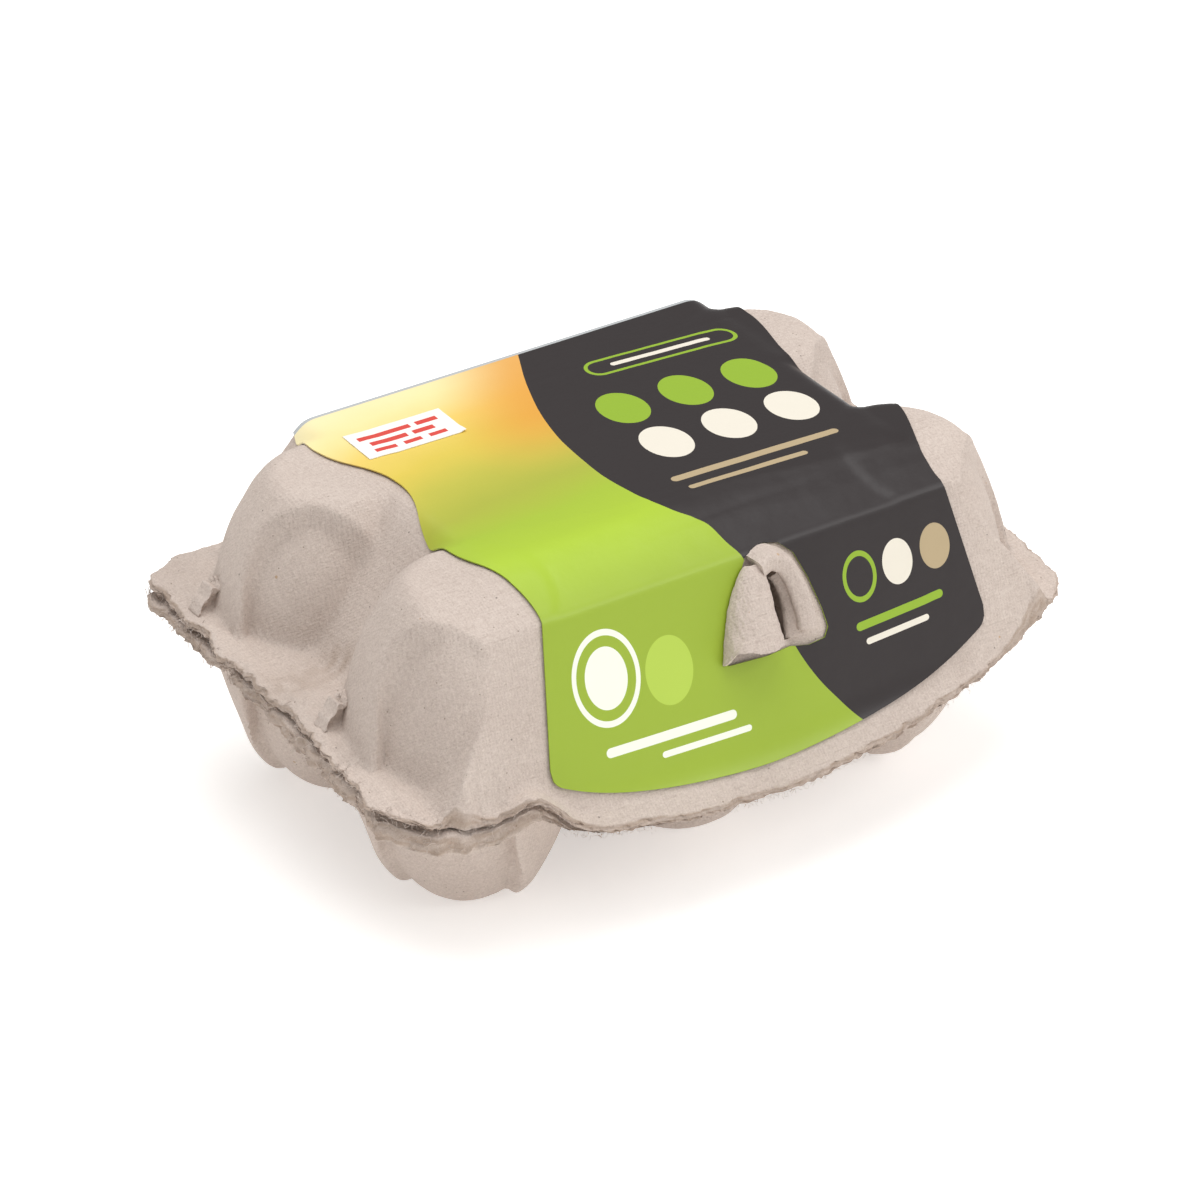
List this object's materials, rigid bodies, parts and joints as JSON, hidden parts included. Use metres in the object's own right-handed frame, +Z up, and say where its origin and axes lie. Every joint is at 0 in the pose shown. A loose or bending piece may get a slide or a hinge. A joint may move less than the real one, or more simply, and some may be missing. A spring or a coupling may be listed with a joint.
{
  "type": "shut egg carton",
  "caption": "Shut moulded pulp egg carton with domed ends, cup-shaped feet, a front latch and a die-cut paper label over its lid.",
  "frame": {"origin": "middle of the footprint, on the surface that the six feet stand on", "axes": "+X along the hinge and the front edge, -Y to the front with the latch, +Z up through the lid's flat top"},
  "size_m": [0.148, 0.101, 0.0674],
  "materials": {
    "pulp": "dry matte moulded paper pulp with a faint wire weave and specks",
    "label_paper": "semi-gloss printed paper, green and near black",
    "sticker_paper": "matte white sticker paper with red bars"
  },
  "bodies": {
    "root": {"carton": "pulp", "label": "label_paper", "date_sticker": "sticker_paper"}
  },
  "joints": []
}
